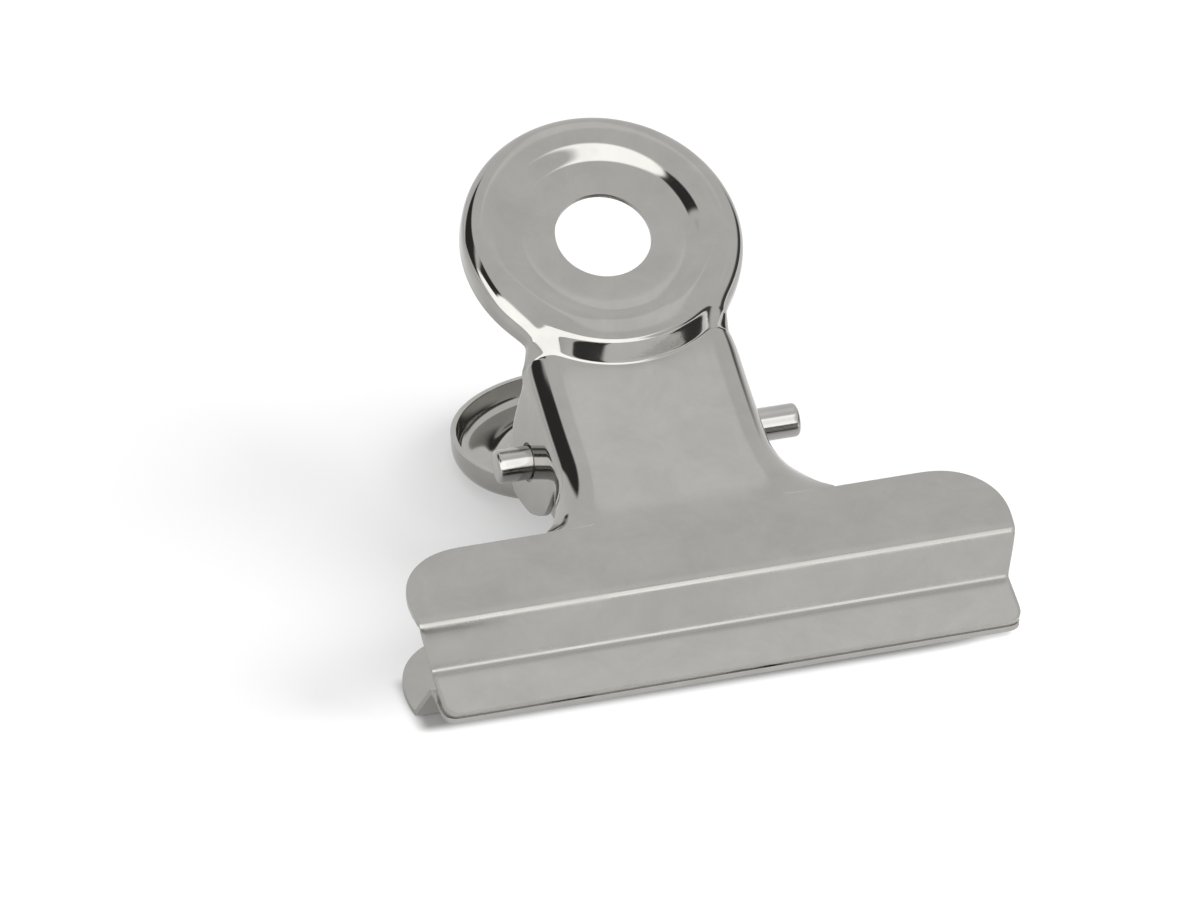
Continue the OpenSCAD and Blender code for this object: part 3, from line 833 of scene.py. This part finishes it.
# The dark mats, which only reflections show
MAT_TONE = 0.06
MAT_LEFT = ((-0.064, -0.176), (1, 0), 0.046, 0.095, 0.004, 1)
MAT_RIGHT = ((0.150, -0.060), (0.5, 1), 0.055, 0.065, 0.004, 1)
mats = even_level(top_tree, 0)
for mat in (MAT_LEFT, MAT_RIGHT):
    mats = lay_card(mats, *mat)
reflected = nodes.new("ShaderNodeMath")
reflected.operation = "MULTIPLY"
link(mats, reflected.inputs[0])
link(rays.outputs["Is Glossy Ray"], reflected.inputs[1])
dark = nodes.new("ShaderNodeEmission")
dark.inputs["Strength"].default_value = MAT_TONE
choose = nodes.new("ShaderNodeMixShader")
link(reflected.outputs[0], choose.inputs["Fac"])
link(both.outputs[0], choose.inputs[1])
link(dark.outputs[0], choose.inputs[2])
link(choose.outputs[0], nodes["Material Output"].inputs["Surface"])
floor_mesh.materials.append(white_top)

# Light
# A white tent all round, with a brighter patch of roof, a softbox and dark gaps, each placed by its
# direction in the room as the photo's reflections show it. Seen straight, the tent is plain white.
# The values of each are those of a card.
world = bpy.data.worlds.new("tent")
bpy.context.scene.world = world
world.use_nodes = True
nodes, link = world.node_tree.nodes, world.node_tree.links.new
direction = nodes.new("ShaderNodeTexCoord").outputs["Generated"]
WALLS = 0.92
ROOF = ((0.23, 0.27, 0.94), (0, 1, 0), 0.235, 0.12, 0.035, 1.07)
SOFTBOX_FRONT_LEFT = ((-0.50, -0.78, 0.37), (-0.88, 0.36, -0.30), 0.73, 0.56, 0.05, 2.3)
GAP_OVER_SOFTBOX = ((-0.58, -0.22, 0.78), (0.10, 1, 0), 0.20, 0.27, 0.03, 0.05)
GAP_LEFT = ((-0.70, 0.42, 0.54), (0, 1, 0), 0.31, 0.40, 0.05, 0.05)
GAP_LOW_RIGHT = ((0.985, -0.10, 0.12), (0.1, 0.99, 0), 0.60, 0.26, 0.10, 0.10)
tone = even_level(world.node_tree, WALLS)
for middle, along, *size_and_level in (ROOF, SOFTBOX_FRONT_LEFT, GAP_OVER_SOFTBOX, GAP_LEFT, GAP_LOW_RIGHT):
    middle = Vector(middle).normalized()
    along = (Vector(along) - Vector(along).dot(middle) * middle).normalized()
    across = middle.cross(along)
    tone = hang_card(world.node_tree, direction, tone, middle, along, across, *size_and_level)
tent = nodes["Background"]
tent.inputs["Color"].default_value = (1, 1, 1, 1)
link(tone, tent.inputs["Strength"])
white = nodes.new("ShaderNodeBackground")
white.inputs["Color"].default_value = (1, 1, 1, 1)
white.inputs["Strength"].default_value = 1
pick = nodes.new("ShaderNodeMixShader")
link(nodes.new("ShaderNodeLightPath").outputs["Is Camera Ray"], pick.inputs["Fac"])
link(tent.outputs[0], pick.inputs[1])
link(white.outputs[0], pick.inputs[2])
link(pick.outputs[0], nodes["World Output"].inputs["Surface"])

# Soft lamp on the right, whose light falls on the table; the metal doesn't mirror it
KEY_PLACE, KEY_SIZE, KEY_POWER = Vector((0.80, -0.36, 0.58)) * 1.1, 1.0, 20
key = bpy.data.objects.new("key", bpy.data.lights.new("key", "AREA"))
key.data.shape = "DISK"
key.data.size = KEY_SIZE
key.data.energy = KEY_POWER
key.location = KEY_PLACE
key.rotation_euler = (-KEY_PLACE).to_track_quat("-Z", "Y").to_euler()
key.visible_glossy = False
bpy.context.collection.objects.link(key)

# Camera
# Long lens in front of the jaws, above and a little to the left, as the photo was taken. In pixels of
# the photo, PHOTO_W by PHOTO_H is the frame, LENS_PX the lens's length and AIM_PX the pin's middle.
PHOTO_W, PHOTO_H, LENS_PX, AIM_PX = 1200, 900, 8147.9, (646.9, 443.2)
SENSOR, DISTANCE, CLIP_NEAR, CLIP_FAR = 36, 1, 0.05, 20
right = Vector((0.95864, -0.28417, -0.01600))
down = Vector((-0.15361, -0.46919, -0.86963))
away = right.cross(down).normalized()
down = away.cross(right.normalized())
aim = Vector(PIN) + Vector((PIN_SHIFT / 1000, 0, 0))
camera = bpy.data.objects.new("camera", bpy.data.cameras.new("camera"))
turn = Matrix((right.normalized(), -down, -away)).transposed()
camera.matrix_world = Matrix.Translation(aim - away * DISTANCE) @ turn.to_4x4()
camera.data.sensor_width = SENSOR
camera.data.lens = SENSOR * LENS_PX / PHOTO_W
camera.data.shift_x = -(AIM_PX[0] - PHOTO_W / 2) / PHOTO_W
camera.data.shift_y = -(PHOTO_H / 2 - AIM_PX[1]) / PHOTO_W
camera.data.clip_start = CLIP_NEAR
camera.data.clip_end = CLIP_FAR
bpy.context.collection.objects.link(camera)
scene = bpy.context.scene
scene.camera = camera
scene.view_settings.view_transform = "Standard"
